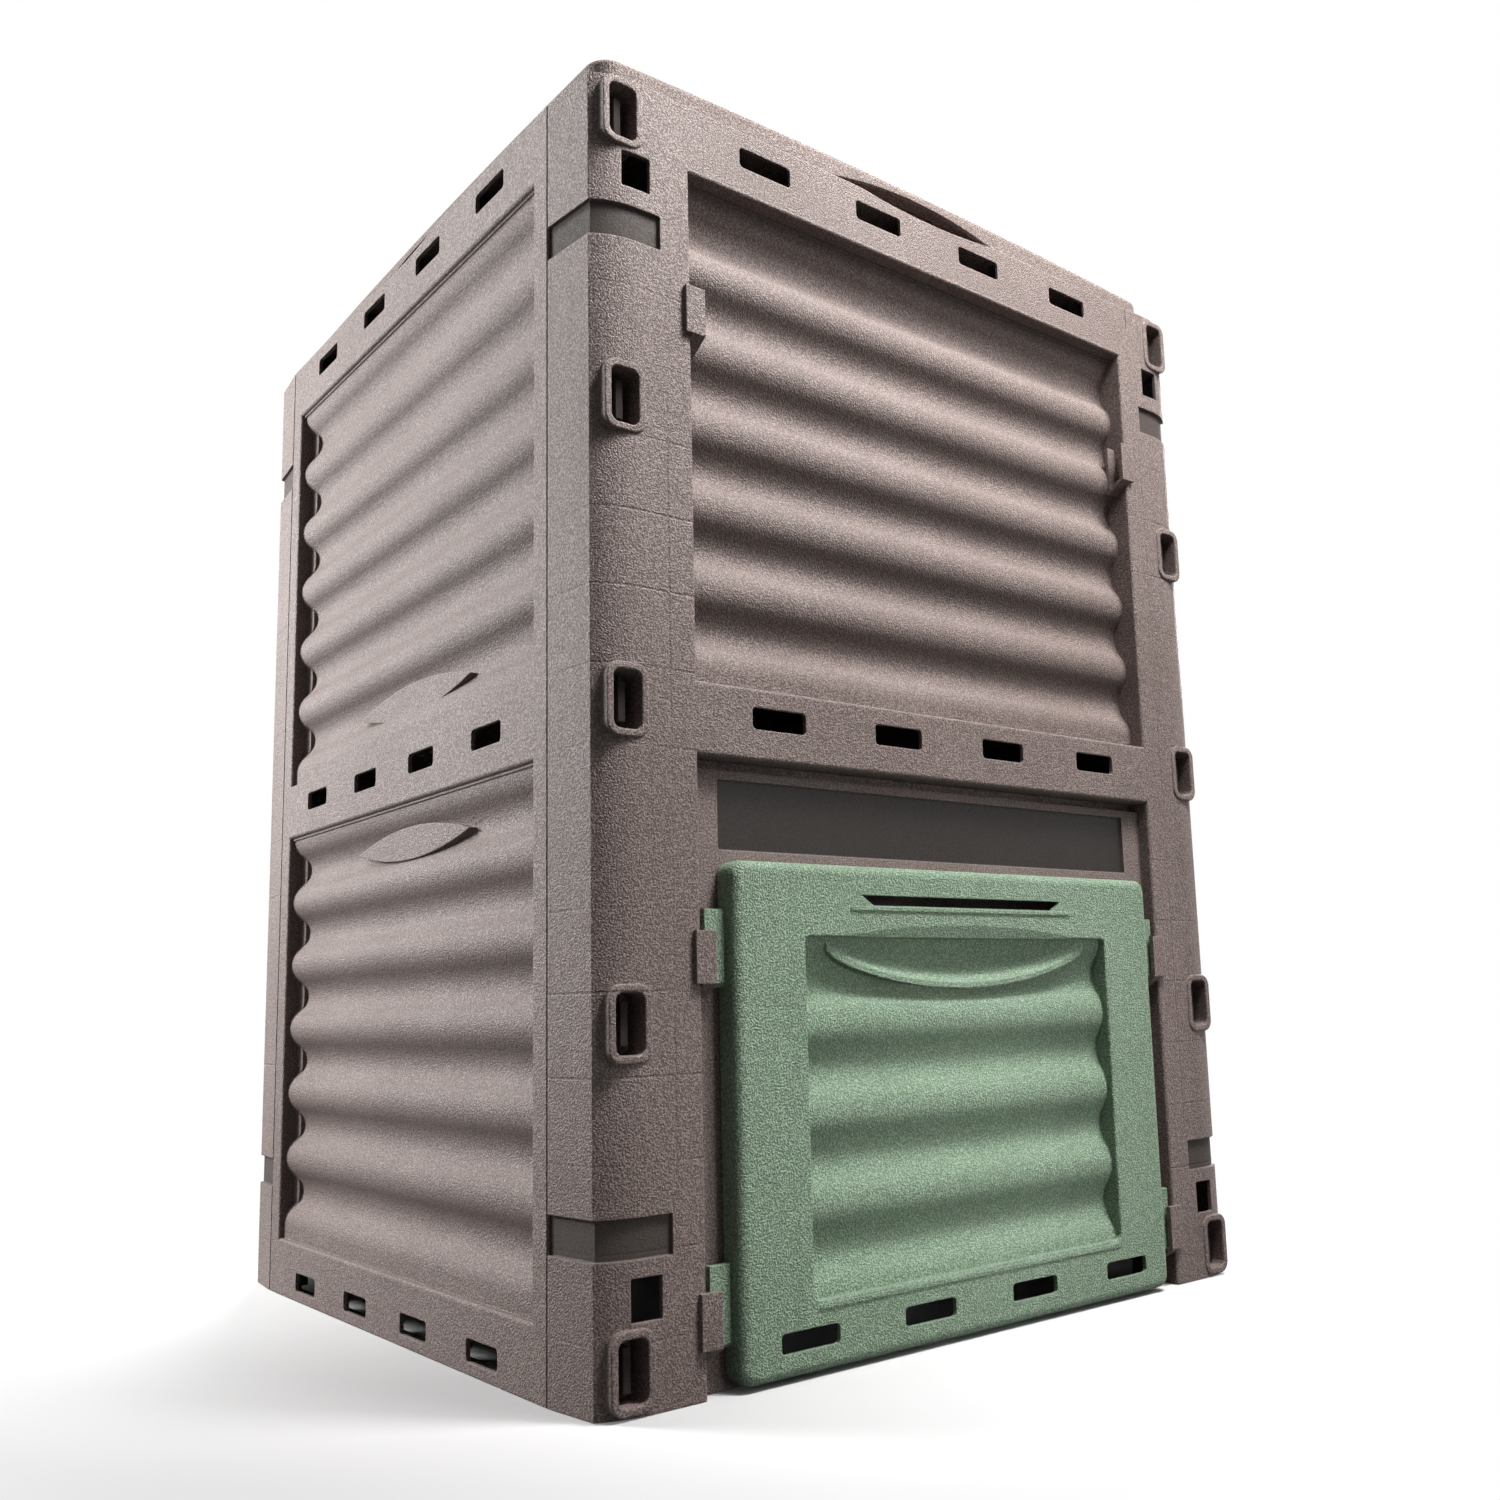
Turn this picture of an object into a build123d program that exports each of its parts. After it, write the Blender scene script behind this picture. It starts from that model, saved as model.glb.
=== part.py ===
from build123d import *
import math
import os

os.makedirs("parts", exist_ok=True)

# Snap-together garden composter: four moulded panels, a lift-off lid and a hatch door.
# Millimetres, +Z up, ground at z = 0, origin under the middle of the whole outline.

# Overall sizes
width = 610.0
depth = 610.0
rim_z = 839.0
wall = 3.2
door_proud = 8.0

# Corner posts, moulded in one with the front and the back panel
post_return = 55.0
post_face = 77.0
corner_w = 35.0
corner_d = 9.5
return_slant = 4.5
seam_chamfer = 1.0
seam_gap = 0.9

# Rails and recessed fields
top_rail = 49.0
mid_rail = 48.0
mid_rail_z = 414.0
bottom_rail = 45.0
rail_setback = 0.8
crest_depth = 13.5
wave_height = 10.5
waves = 6
wave_lead = 12.0
field_step = 2.0
field_step_at = 11.0
side_frame = 20.0
side_crest = 4.2
side_step_at = 3.0
tab_rise = 3.0
edge_round = 2.5

# Vent slots
slot_w = 45.0
slot_h = 15.0
slot_r = 3.0
slot_pitch = 108.0
slot_top_drop = 19.5
slot_mid_rise = 4.0
slot_low_z = 15.0

# Rim ledge that carries the lid, with a finger dip in the middle of each side
ledge = 30.0
foot = 16.0
dip_half = 72.0
dip_deep = 4.5

# Corner collars and the side panels' snap hooks
collars = 5
collar_in = 25.0
collar_low_z = 25.0
collar_top_drop = 25.5
collar_hole_w = 20.0
collar_hole_h = 37.0
collar_ring = 5.0
collar_proud = 1.3
collar_round = 1.2
collar_bore = 20.0
collar_floor = 3.0
latch_gap = 2.5
hook_t = 5.0
hook_h = 26.0
barb_gap = 1.0
barb_len = 4.0
hook_sink = 7.0
hook_cover = 4.5

# Small square holes and the smooth bands that wrap the corners
square_in = 35.0
square_w = 21.0
square_h = 25.0
square_low_z = 64.0
square_top_drop = 64.5
band_h = 23.5
band_d = 2.5
band_in = 53.0
band_low_z = 98.5
band_top_drop = 102.0

# Hatch recess and opening in the front panel
recess_d = 11.5
groove_h = 7.0
groove_d = 20.0
hatch_cover = 7.0
hatch_low = 8.0
hatch_top_drop = 74.0
hatch_r = 8.0
plate_in = 22.0
plate_h = 46.0
plate_drop = 13.0
plate_d = 2.0

# Brackets that hold the door tongues
bracket_h = 33.0
bracket_root = 6.0
bracket_over = 9.0
bracket_proud = 3.5
bracket_t = 4.0
bracket_fall = 9.0
bracket_low_z = 28.5
bracket_rise = 216.5
bracket_park_drop = 166.0

# Door
door_side_gap = 20.0
door_low = 2.5
door_top_gap = 67.0
door_back_gap = 1.0
door_wall = 3.5
door_corner = 10.0
door_round = 7.0
door_edge = 1.5
door_stile = 57.0
door_field_low = 45.5
door_field_drop = 48.5
door_crest = 5.2
door_wave = 9.3
door_waves = 4
door_slot_w = 47.0
door_slot_h = 13.0
door_slot_pitch = 103.5
door_slot_z = 24.0
bead_drop = 3.5
bead_half = 148.0
bead_r = 1.5
grip_w = 204.0
grip_slant = 11.0
lip_w = 224.0
lip_h = 2.5
lip_proud = 1.0
grip_h = 7.0
grip_drop = 23.5
arch_half = 122.0
arch_h = 9.0
arch_d = 2.8
scoop_half = 160.0
scoop_r = 28.0
scoop_drop = 6.5
scoop_ahead = 12.6
tongue_gap = 4.0
tongue_h = 43.0
tongue_play = 2.0
tongue_t = 5.0

# Lid
lid_inset = 16.5
lid_corner = 17.0
lid_rise = 37.0
lid_crown = 6800.0
lid_wall = 3.5
lid_round = 5.0
lid_lip_gap = 3.0
lid_lip_deep = 10.0
lid_lip_t = 3.0
lid_lip_r = 12.0
lid_arch_r = 390.0
lid_arch_z = 22.7

# Places that follow from the sizes above
ahead = door_proud + max(lip_proud, bead_r / 2)
y_front = ahead - (depth + ahead + collar_proud) / 2
y_back = y_front + depth
y_mid = y_front + depth / 2
half_x = width / 2
seam_x = depth / 2 - post_return - seam_gap
field_half = half_x - post_face
side_half = seam_x - side_frame
upper_low = mid_rail_z + mid_rail / 2
upper_top = rim_z - top_rail
lower_low = bottom_rail
lower_top = mid_rail_z - mid_rail / 2
trough_depth = crest_depth + wave_height
field_back = trough_depth + wall
side_back = side_crest + wave_height + wall
slot_mid_z = mid_rail_z + slot_mid_rise
slot_top_z = rim_z - slot_top_drop
collar_step = (rim_z - collar_top_drop - collar_low_z) / (collars - 1)
collar_len = collar_bore + collar_floor
hatch_top = lower_top - hatch_top_drop
door_top = lower_top - door_top_gap
flange = collar_in + hook_t / 2 + hook_cover
bracket_slope = bracket_fall / (recess_d + bracket_proud)
door_half = field_half - door_side_gap
hatch_half = door_half - hatch_cover
plate_half = field_half - plate_in

front = Plane(origin=(0, y_front, 0), x_dir=(1, 0, 0), z_dir=(0, 0, 1))
back = Plane(origin=(0, y_back, 0), x_dir=(-1, 0, 0), z_dir=(0, 0, 1))
left = Plane(origin=(-half_x, y_mid, 0), x_dir=(0, -1, 0), z_dir=(0, 0, 1))
right = Plane(origin=(half_x, y_mid, 0), x_dir=(0, 1, 0), z_dir=(0, 0, 1))


def local(at, plane):
    """A plane given in a panel's own frame: x along the panel, y inward, z up."""
    return Plane(at * plane)


def slab(at, x0, x1, y0, y1, z0, z1):
    """A block in a panel's own frame."""
    with BuildSketch(local(at, Plane.XY.offset(z0))) as outline:
        with Locations(((x0 + x1) / 2, (y0 + y1) / 2)):
            Rectangle(abs(x1 - x0), y1 - y0)
    return extrude(outline.sketch, amount=z1 - z0, mode=Mode.PRIVATE)


def plug(at, spots, w, h, r, y0, y1):
    """Rounded rectangular bosses or holes at (x, z) spots, from depth y0 to depth y1."""
    with BuildSketch(local(at, Plane.XZ.offset(-y0))) as outline:
        with Locations(*spots):
            RectangleRounded(w, h, r)
    return extrude(outline.sketch, amount=y0 - y1, mode=Mode.PRIVATE)


def section(at, x0, x1, points):
    """A prism along the panel whose section is given as (depth, height) points."""
    with BuildSketch(local(at, Plane.YZ.offset(min(x0, x1)))) as outline:
        with BuildLine():
            Polyline(*points, close=True)
        make_face()
    return extrude(outline.sketch, amount=abs(x1 - x0), mode=Mode.PRIVATE)


def wave_line(crest, height, z1, pitch, count):
    """One face of a corrugated skin in section: equal arcs from crest to crest."""
    middle = crest + height / 2
    last = z1 - count * pitch
    radius = ((pitch / 4) ** 2 + (height / 2) ** 2) / height
    turn = math.asin(pitch / 4 / radius)
    lean = radius * (1 - math.cos(turn / 2))
    drop = radius * math.sin(turn / 2)
    ThreePointArc((crest, z1), (crest + lean, z1 - drop), (middle, z1 - pitch / 4))
    for i in range(2 * count - 1):
        top = z1 - pitch / 4 - i * pitch / 2
        peak = crest + height * (1 - i % 2)
        ThreePointArc((middle, top), (peak, top - pitch / 4), (middle, top - pitch / 2))
    ThreePointArc((middle, last + pitch / 4), (crest + lean, last + drop), (crest, last))


def wave_sheet(at, half, z0, z1, count, lead, crest, height, thick):
    """The corrugated skin of a field, crest at the top edge, with a short flat at the foot."""
    pitch = (z1 - z0 - lead) / count
    last = z0 + lead
    inner = crest + thick
    foot_line = [(crest, last), (inner, last)]
    if lead > 0:
        foot_line = [(crest, last), (crest, z0), (inner, z0), (inner, last)]
    with BuildSketch(local(at, Plane.YZ.offset(-half))) as outline:
        with BuildLine():
            wave_line(crest, height, z1, pitch, count)
            Polyline(*foot_line)
            wave_line(inner, height, z1, pitch, count)
            Line((inner, z1), (crest, z1))
        make_face()
    return extrude(outline.sketch, amount=2 * half, mode=Mode.PRIVATE)


def field(at, h, z0, z1, crest, step_at):
    """A recessed field: side walls, stepped ceiling, floor and corrugated skin."""
    deep = crest + wave_height + wall
    sheet_top = z1 - field_step
    return [
        slab(at, -h - wall, h + wall, 0, deep, z1, z1 + wall),
        slab(at, -h - wall, h + wall, 0, deep, z0 - wall, z0),
        slab(at, -h - wall, -h, 0, deep, z0, z1),
        slab(at, h, h + wall, 0, deep, z0, z1),
        slab(at, -h, h, step_at, deep, sheet_top, z1),
        wave_sheet(at, h, z0, sheet_top, waves, wave_lead, crest, wave_height, wall),
    ]


def slot_row(at, z):
    spots = [(k * slot_pitch, z) for k in (-1.5, -0.5, 0.5, 1.5)]
    return plug(at, spots, slot_w, slot_h, slot_r, -1, field_back)


def rail(at, half, z0, z1, deep):
    """A rail's face with the stiffening webs behind it, clear of the slots."""
    made = [slab(at, -half, half, 0, wall, z0, z1)]
    for k in (-2, -1, 0, 1, 2):
        x = k * slot_pitch
        if abs(x) < half:
            made.append(slab(at, x - 1.25, x + 1.25, wall - 0.5, deep - 2, z0, z1))
    return made


def dip_pad(at):
    """The ledge thickened under the finger dip in the middle of the rim."""
    return slab(at, -dip_half - 8, dip_half + 8, 0, ledge, rim_z - wall - dip_deep, rim_z - wall + 0.5)


def dip_cut(at):
    """The finger dip itself, a shallow arc in front of the lid's skirt."""
    r = (dip_half**2 + dip_deep**2) / (2 * dip_deep)
    with BuildSketch(local(at, Plane.XZ.offset(1))) as bowl:
        with Locations((0, rim_z - dip_deep + r)):
            Circle(r)
        with Locations((0, rim_z)):
            Rectangle(2 * dip_half + 4, 2 * dip_deep + 1, mode=Mode.INTERSECT)
    return extrude(bowl.sketch, amount=-lid_inset, mode=Mode.PRIVATE)


def corner_line(side, end):
    """The outside of a corner post in plan: seam, crease, rounded nose, flat face."""
    seam = (side * half_x, post_return)
    crease = (side * (half_x - return_slant), corner_d)
    nose = (side * (half_x - corner_w), 0)
    Line(seam, crease)
    TangentArc(nose, crease, tangent=(side, 0))
    Line(nose, (side * (half_x - end), 0))


def corner_skin(at, side, end, thick, z0, z1):
    """The post's skin, or a strip of it, between two heights."""
    with BuildSketch(local(at, Plane.XY.offset(z0))) as outline:
        with BuildLine() as path:
            corner_line(side, end)
            offset(amount=thick, side=Side.RIGHT if side > 0 else Side.LEFT)
        make_face()
    return extrude(outline.sketch, amount=z1 - z0, mode=Mode.PRIVATE)


def corner_cap(at, side):
    """The post's closed top, level with the rim ledge."""
    inner = side * (half_x - ledge)
    end = side * (half_x - post_face)
    with BuildSketch(local(at, Plane.XY.offset(rim_z - wall))) as outline:
        with BuildLine():
            corner_line(side, post_face)
            Polyline((end, 0), (end, ledge), (inner, ledge), (inner, post_return), (side * half_x, post_return))
        make_face()
    return extrude(outline.sketch, amount=wall, mode=Mode.PRIVATE)


collar_zs = [collar_low_z + i * collar_step for i in range(collars)]
band_zs = [band_low_z, rim_z - band_top_drop]
square_zs = [square_low_z, rim_z - square_top_drop]


# One corner collar: a proud ring with rounded edges round a deep hole
ring_w = collar_hole_w + 2 * collar_ring
ring_h = collar_hole_h + 2 * collar_ring
with BuildPart() as collar:
    add(plug(Plane.XY, [(0, 0)], ring_w, ring_h, collar_ring + 4, -collar_proud, collar_len))
    fillet(collar.faces().sort_by(Axis.Y)[0].edges(), radius=collar_round)
    add(plug(Plane.XY, [(0, 0)], collar_hole_w, collar_hole_h, 5, -collar_proud - 1, collar_bore),
        mode=Mode.SUBTRACT)
    fillet(collar.faces().sort_by(Axis.Y)[0].inner_wires().edges(), radius=collar_round)


def post_body(at, side):
    """One corner post: skin, closed top, thickened bands and solid collars."""
    made = [corner_skin(at, side, post_face, wall, 0, rim_z), corner_cap(at, side)]
    for z in band_zs:
        made.append(corner_skin(at, side, band_in + 4, wall + band_d, z - band_h / 2 - 4, z + band_h / 2 + 4))
    for z in collar_zs:
        made.append(collar.part.moved(at.location * Location((side * (half_x - collar_in), 0, z))))
    return made


def post_cuts(at, side):
    """The holes of one corner post: stepped collar holes, square holes and smooth bands."""
    x = side * (half_x - collar_in)
    spots = [(x, z) for z in collar_zs]
    made = [
        plug(at, spots, collar_hole_w, collar_hole_h, 5, 0, collar_bore),
        plug(at, spots, hook_t + 2 * latch_gap, hook_h + 2 * latch_gap, 3, collar_bore - 1, collar_len + 1),
        plug(at, [(side * (half_x - square_in), z) for z in square_zs], square_w, square_h, 1, -1, 2 * wall),
    ]
    made.append(slab(at, side * (half_x - 20), side * (half_x + 1), post_return, post_return + 3, -1, rim_z + 1))
    for z in band_zs:
        made.append(corner_skin(at, side, band_in, band_d, z - band_h / 2, z + band_h / 2))
    return made


def rail_face(at):
    """The top rail's face, set a little behind the posts with curved ends."""
    low = upper_top + 3
    edge = field_half + 14
    foot_x = field_half + 1
    with BuildSketch(local(at, Plane.XZ.offset(1))) as face:
        with BuildLine():
            for s in (-1, 1):
                Line((s * edge, rim_z + 1), (s * edge, rim_z - 18))
                Spline((s * edge, rim_z - 18), (s * foot_x, low), tangents=[(0, -1), (-s * 0.4, -1)])
            Line((-edge, rim_z + 1), (edge, rim_z + 1))
            Line((-foot_x, low), (foot_x, low))
        make_face()
    return extrude(face.sketch, amount=-(1 + rail_setback), mode=Mode.PRIVATE)


def bracket(at, side, z, own_back):
    """An open-topped pocket for a door tongue: front plate, sloped floor, back where needed."""
    x0 = side * (field_half + bracket_root)
    x1 = side * (field_half - bracket_over)
    x2 = side * (field_half + 1)
    deep = recess_d + 1
    top = z + bracket_t
    end = top - bracket_slope * (deep + bracket_proud)
    floor = [(-bracket_proud, z), (-bracket_proud, top), (deep, end), (deep, end - bracket_t)]
    made = [
        slab(at, x0, x1, -bracket_proud, bracket_t - bracket_proud, z, z + bracket_h),
        section(at, x2, x1, floor),
    ]
    if own_back:
        made.append(slab(at, x2, x1, recess_d, recess_d + 3, end - bracket_t, z + bracket_h))
        made.append(slab(at, x2, x1, recess_d, trough_depth + 1, z + 8, z + 11))
    return made


def window_edges(panel, at, half, heights):
    """Edges of the recessed windows that lie in a panel's outer face."""
    found = []
    for e in panel.edges().filter_by(GeomType.LINE):
        ends = [at.to_local_coords(e.position_at(t)) for t in (0, 0.5, 1)]
        if max(abs(p.Y) for p in ends) > 0.01:
            continue
        sides = all(abs(abs(p.X) - half) < 0.01 for p in ends)
        for z in heights:
            if all(abs(p.Z - z) < 0.01 for p in ends) and abs(ends[1].X) < half:
                found.append(e)
        if sides and e.length > 20:
            found.append(e)
    return found


# Front panel: two posts, top and middle rail, one corrugated field, hatch recess below
plate_z = lower_top - plate_drop - plate_h / 2
hatch_z = (hatch_low + hatch_top) / 2
hatch_h = hatch_top - hatch_low
shelf = lower_top - groove_h
recess_back = groove_d + wall

with BuildPart() as front_panel:
    solid = []
    cuts = [dip_cut(front), rail_face(front), slot_row(front, slot_top_z), slot_row(front, slot_mid_z)]
    for s in (-1, 1):
        solid += post_body(front, s)
        cuts += post_cuts(front, s)
        solid.append(slab(front, s * field_half, s * (field_half + wall), 0, recess_back, 0, lower_top + wall))
    solid += rail(front, field_half, upper_top, rim_z - wall, field_back)
    solid += rail(front, field_half, lower_top, upper_low, field_back)
    solid += field(front, field_half, upper_low, upper_top, crest_depth, field_step_at)
    solid += [
        slab(front, -field_half, field_half, 0, ledge, rim_z - wall, rim_z),
        dip_pad(front),
        slab(front, -field_half, field_half, 0, recess_back, lower_top, lower_top + wall),
        slab(front, -field_half, field_half, groove_d, recess_back, shelf - wall, lower_top),
        slab(front, -field_half, field_half, recess_d, recess_back, shelf - wall, shelf),
        slab(front, -field_half, field_half, recess_d, recess_d + wall, 0, shelf),
        plug(front, [(0, plate_z)], 2 * plate_half + 8, plate_h + 8, 2, recess_d, recess_d + wall + plate_d),
        plug(front, [(0, hatch_z)], 2 * (hatch_half + wall), hatch_h + 2 * wall, hatch_r + wall,
             recess_d, recess_back),
    ]
    cuts += [
        plug(front, [(0, hatch_z)], 2 * hatch_half, hatch_h, hatch_r, recess_d - 1, recess_back + 1),
        plug(front, [(0, plate_z)], 2 * plate_half, plate_h, 1.5, recess_d - 1, recess_d + plate_d),
    ]
    add(solid)
    add(cuts, mode=Mode.SUBTRACT)
    fillet(window_edges(front_panel, front, field_half, (lower_top, upper_low, upper_top)), radius=edge_round)
    brackets = []
    for s in (-1, 1):
        brackets += bracket(front, s, bracket_low_z, False)
        brackets += bracket(front, s, bracket_low_z + bracket_rise, False)
        brackets += bracket(front, s, rim_z - bracket_park_drop, True)
    add(brackets)
front_panel.part.label = "front_panel"

# Back panel: the same posts and rails with two corrugated fields and no hatch
with BuildPart() as back_panel:
    solid = []
    cuts = [dip_cut(back), rail_face(back)]
    for s in (-1, 1):
        solid += post_body(back, s)
        cuts += post_cuts(back, s)
    for z0, z1 in ((upper_top, rim_z - wall), (lower_top, upper_low), (0, lower_low)):
        solid += rail(back, field_half, z0, z1, field_back)
    solid += field(back, field_half, upper_low, upper_top, crest_depth, field_step_at)
    solid += field(back, field_half, lower_low, lower_top, crest_depth, field_step_at)
    solid += [
        slab(back, -field_half, field_half, 0, ledge, rim_z - wall, rim_z),
        dip_pad(back),
        slab(back, -field_half, field_half, 0, foot, 0, wall),
    ]
    for z in (slot_low_z, slot_mid_z, slot_top_z):
        cuts.append(slot_row(back, z))
    add(solid)
    add(cuts, mode=Mode.SUBTRACT)
    heights = (lower_low, lower_top, upper_low, upper_top)
    fillet(window_edges(back_panel, back, field_half, heights), radius=edge_round)
back_panel.part.label = "back_panel"


def trough_zs(z0, z1):
    """Heights of the wave troughs of a field between two heights."""
    pitch = (z1 - field_step - z0 - wave_lead) / waves
    return [z1 - field_step - pitch * (i + 0.5) for i in range(waves)]


def end_tabs(at, zs):
    """Small flat tabs that close the ends of the wave troughs."""
    trough = side_crest + wave_height
    spots = [(s * (side_half - 5), z) for z in zs for s in (-1, 1)]
    return plug(at, spots, 18, 22, 6, trough - tab_rise, trough + 1)


def word_pad(at, z):
    """A bare lens-shaped pad bridging a wave trough, a little towards the front."""
    half = 103.0
    rise = 12.5
    middle = 17.0
    with BuildSketch(local(at, Plane.XZ.offset(-side_crest - 0.4 * wave_height))) as lens:
        with BuildLine():
            ThreePointArc((middle - half, z), (middle, z + rise), (middle + half, z))
            ThreePointArc((middle + half, z), (middle, z - rise), (middle - half, z))
        make_face()
    return extrude(lens.sketch, amount=-0.6 * wave_height - 1, mode=Mode.PRIVATE)


def side_solids(at):
    """A side panel: flat frame, three rails, two fields, end flanges with snap hooks."""
    made = []
    for s in (-1, 1):
        made.append(slab(at, s * side_half, s * seam_x, 0, wall, 0, rim_z))
        made.append(slab(at, s * (seam_x - wall), s * seam_x, 0, flange, 0, rim_z))
    for z0, z1 in ((upper_top, rim_z - wall), (lower_top, upper_low), (0, lower_low)):
        made += rail(at, side_half, z0, z1, side_back)
    made += [
        slab(at, -seam_x, seam_x, 0, ledge, rim_z - wall, rim_z),
        dip_pad(at),
        slab(at, -seam_x, seam_x, 0, foot, 0, wall),
    ]
    for z0, z1 in ((upper_low, upper_top), (lower_low, lower_top)):
        made += field(at, side_half, z0, z1, side_crest, side_step_at)
        made.append(end_tabs(at, trough_zs(z0, z1)))
    made.append(word_pad(at, trough_zs(upper_low, upper_top)[-1] - wave_lead / 2))
    made.append(word_pad(at, trough_zs(lower_low, lower_top)[0]))
    seat = depth / 2 - collar_bore
    tip = depth / 2 - hook_sink
    catch = collar_hole_h / 2 - barb_gap
    y0 = collar_in - hook_t / 2
    y1 = collar_in + hook_t / 2
    for z in collar_zs:
        for s in (-1, 1):
            made.append(slab(at, s * (seam_x - 1), s * tip, y0, y1, z - hook_h / 2, z + hook_h / 2))
            made.append(slab(at, s * seat, s * (seat + barb_len), y0, y1, z - catch, z + catch))
    return made


def side_cuts(at):
    return [dip_cut(at)] + [slot_row(at, z) for z in (slot_low_z, slot_mid_z, slot_top_z)]


def seam_edges(panel, at):
    """The upright outer edges of a side panel along its two seams."""
    found = []
    for e in panel.edges().filter_by(Axis.Z):
        p = at.to_local_coords(e.center())
        if abs(p.Y) < 0.01 and abs(abs(p.X) - seam_x) < 0.01:
            found.append(e)
    return found


# Side panels: the same moulding twice, turned round
side_heights = (lower_low, lower_top, upper_low, upper_top)
with BuildPart() as left_panel:
    add(side_solids(left))
    add(side_cuts(left), mode=Mode.SUBTRACT)
    fillet(window_edges(left_panel, left, side_half, side_heights), radius=edge_round)
    chamfer(seam_edges(left_panel, left), length=seam_chamfer)
left_panel.part.label = "left_panel"

with BuildPart() as right_panel:
    add(side_solids(right))
    add(side_cuts(right), mode=Mode.SUBTRACT)
    fillet(window_edges(right_panel, right, side_half, side_heights), radius=edge_round)
    chamfer(seam_edges(right_panel, right), length=seam_chamfer)
right_panel.part.label = "right_panel"

# Hatch door: a shallow tray with a corrugated field, finger scoop, grip slit, slots and tongues
door_z = (door_low + door_top) / 2
door_h = door_top - door_low
door_y = -door_proud
door_field_half = door_half - door_stile
tongue_front = bracket_t - bracket_proud + tongue_play
tongue_len = door_side_gap - tongue_gap
door_back = recess_d - door_back_gap
field_z0 = door_field_low
field_z1 = door_top - door_field_drop
field_z = (field_z0 + field_z1) / 2
field_h = field_z1 - field_z0
sheet_y = door_y + door_crest
sheet_back = sheet_y + door_wave + door_wall
scoop_y = sheet_y - scoop_ahead
scoop_z = field_z1 - scoop_drop
grip_z = door_top - grip_drop


def spindle(extra):
    """A spindle lying across the door, grown by extra, for the finger scoop."""
    r = scoop_r + extra
    long = scoop_half + 2 * extra
    with BuildSketch(local(front, Plane.XY.offset(scoop_z))) as blade:
        with BuildLine():
            ThreePointArc((-long, scoop_y), (0, scoop_y + r), (long, scoop_y))
            Line((-long, scoop_y), (long, scoop_y))
        make_face()
    axis = Axis((0, y_front + scoop_y, scoop_z), (1, 0, 0))
    return revolve(blade.sketch, axis=axis, mode=Mode.PRIVATE)


def door_arch():
    """The shallow arched bevel in the door's face above its field."""
    low = field_z1 - 2 * arch_h
    with BuildSketch(local(front, Plane.XZ.offset(door_proud))) as lens:
        with BuildLine():
            ThreePointArc((-arch_half, field_z1), (0, field_z1 + arch_h), (arch_half, field_z1))
            Polyline((arch_half, field_z1), (arch_half, low), (-arch_half, low), (-arch_half, field_z1))
        make_face()
    bevel = math.degrees(math.atan(arch_h / arch_d))
    return extrude(lens.sketch, amount=-arch_d, taper=bevel, mode=Mode.PRIVATE)


def grip_slit():
    """The long grip slit near the door's top, with slanted ends."""
    half = grip_w / 2
    foot_half = half - grip_slant
    z0 = grip_z - grip_h / 2
    z1 = grip_z + grip_h / 2
    with BuildSketch(local(front, Plane.XZ.offset(door_proud + 1))) as slit:
        with BuildLine():
            Polyline((-half, z1), (half, z1), (foot_half, z0), (-foot_half, z0), close=True)
        make_face()
    return extrude(slit.sketch, amount=-door_wall - 2, mode=Mode.PRIVATE)


def tongue(side, z):
    """A flat tongue on the door's side, its foot sloped like the bracket's floor."""
    y0 = tongue_front
    y1 = tongue_front + tongue_t
    top = z + bracket_t
    z0 = top - bracket_slope * (y0 + bracket_proud)
    z1 = top - bracket_slope * (y1 + bracket_proud)
    head_z = z + tongue_h + bracket_t
    outline = [(y0, z0), (y1, z1), (y1, head_z), (y0, head_z)]
    return section(front, side * (door_half - 1), side * (door_half + tongue_len), outline)


with BuildPart() as scoop_shell:
    add(spindle(door_wall))
    add(slab(front, -door_field_half - 1, door_field_half + 1, sheet_y, sheet_back + scoop_r,
             scoop_z - 2 * scoop_r, field_z1 + door_wall), mode=Mode.INTERSECT)

with BuildPart() as scoop_room:
    add(spindle(0))
    add(slab(front, -door_field_half, door_field_half, door_y + door_wall, sheet_back + scoop_r,
             scoop_z - 2 * scoop_r, field_z1), mode=Mode.INTERSECT)

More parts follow.
